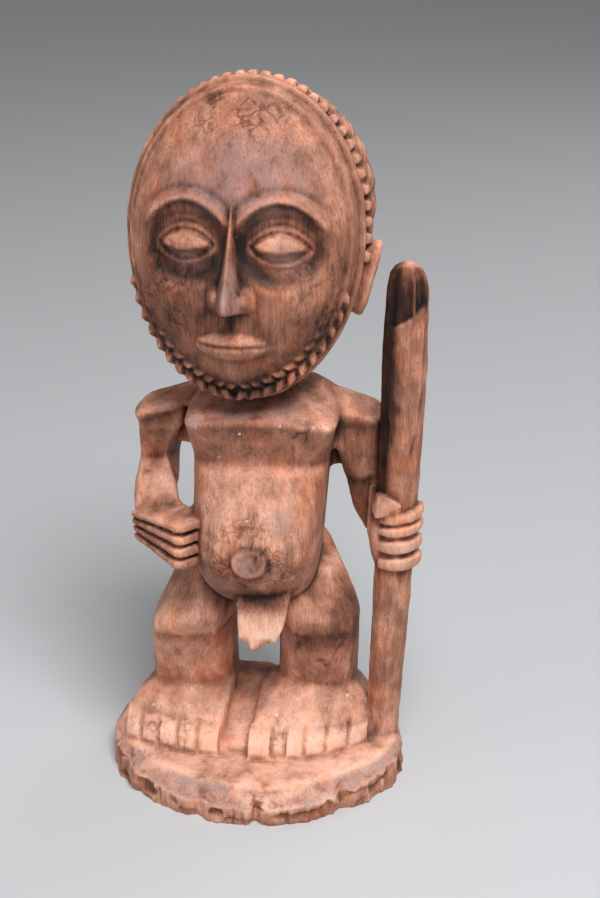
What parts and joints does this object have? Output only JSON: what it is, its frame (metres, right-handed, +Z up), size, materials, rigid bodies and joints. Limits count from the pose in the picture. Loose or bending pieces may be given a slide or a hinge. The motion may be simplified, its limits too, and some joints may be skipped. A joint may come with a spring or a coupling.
{
  "type": "ancestor figure",
  "caption": "Carved wooden ancestor figure standing on its own round base, with a staff in its left hand.",
  "frame": {"origin": "middle of the base's flat underside", "axes": "+Z up, the figure faces -Y, its left hand with the staff is at +X"},
  "size_m": [0.1317, 0.1067, 0.2982],
  "materials": {
    "carved_wood": "bare carved wood, dusted with reddish clay and worn dark on the high places"
  },
  "bodies": {
    "root": {"ancestor_figure": "carved_wood"}
  },
  "joints": []
}
